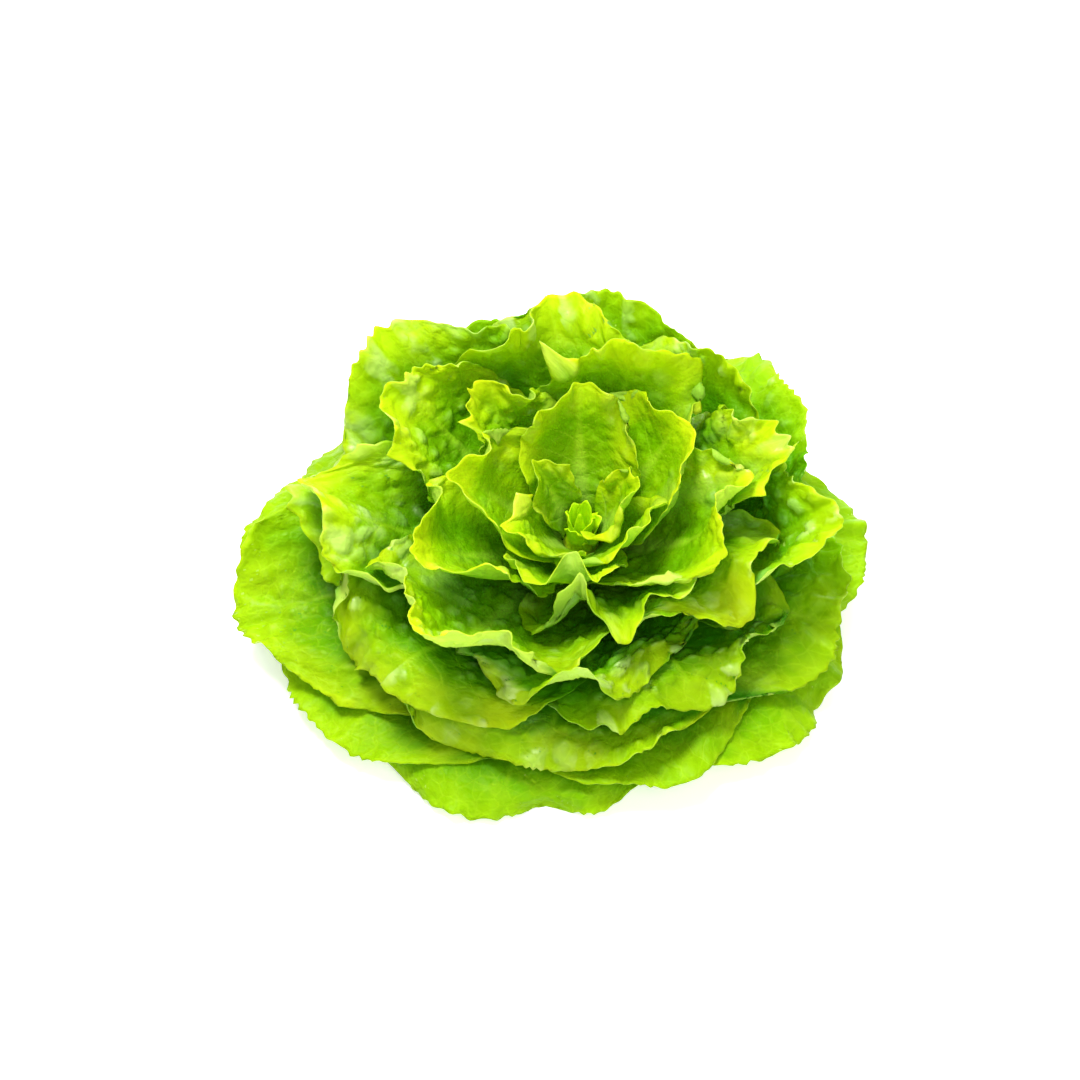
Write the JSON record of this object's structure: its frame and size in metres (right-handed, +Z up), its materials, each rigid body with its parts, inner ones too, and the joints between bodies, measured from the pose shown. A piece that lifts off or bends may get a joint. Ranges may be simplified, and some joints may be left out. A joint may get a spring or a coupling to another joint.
{
  "type": "head of lettuce",
  "caption": "Open butterhead lettuce, cut at the stem: broad wavy outer leaves round an upright, crinkled heart.",
  "frame": {"origin": "centre of the flat cut face of the stem, on the surface that the head rests on", "axes": "+Z up out of the cut face through the heart; -Y towards the viewer of the picture; +X to the viewer's right"},
  "size_m": [0.2742, 0.2465, 0.121],
  "materials": {
    "outer_leaf": "satin",
    "inner_leaf": "satin",
    "heart": "satin",
    "stem": "satin"
  },
  "bodies": {
    "root": {"heart_bud": "heart", "leaf_01": "outer_leaf", "leaf_02": "outer_leaf", "leaf_03": "outer_leaf", "leaf_04": "outer_leaf", "leaf_05": "outer_leaf", "leaf_06": "outer_leaf", "leaf_07": "outer_leaf", "leaf_08": "outer_leaf", "leaf_09": "outer_leaf", "leaf_10": "outer_leaf", "leaf_11": "outer_leaf", "leaf_12": "outer_leaf", "leaf_13": "outer_leaf", "leaf_14": "outer_leaf", "leaf_15": "inner_leaf", "leaf_16": "inner_leaf", "leaf_17": "inner_leaf", "leaf_18": "inner_leaf", "leaf_19": "inner_leaf", "leaf_20": "inner_leaf", "leaf_21": "inner_leaf", "leaf_22": "inner_leaf", "leaf_23": "inner_leaf", "leaf_24": "inner_leaf", "leaf_25": "inner_leaf", "leaf_26": "inner_leaf", "leaf_27": "inner_leaf", "leaf_28": "inner_leaf", "leaf_29": "heart", "leaf_30": "heart", "leaf_31": "heart", "leaf_32": "heart", "leaf_33": "heart", "leaf_34": "heart", "leaf_35": "heart", "leaf_36": "heart", "leaf_37": "heart", "leaf_38": "heart", "leaf_39": "heart", "leaf_40": "heart", "leaf_41": "heart", "leaf_42": "heart", "stem": "stem"}
  },
  "joints": []
}
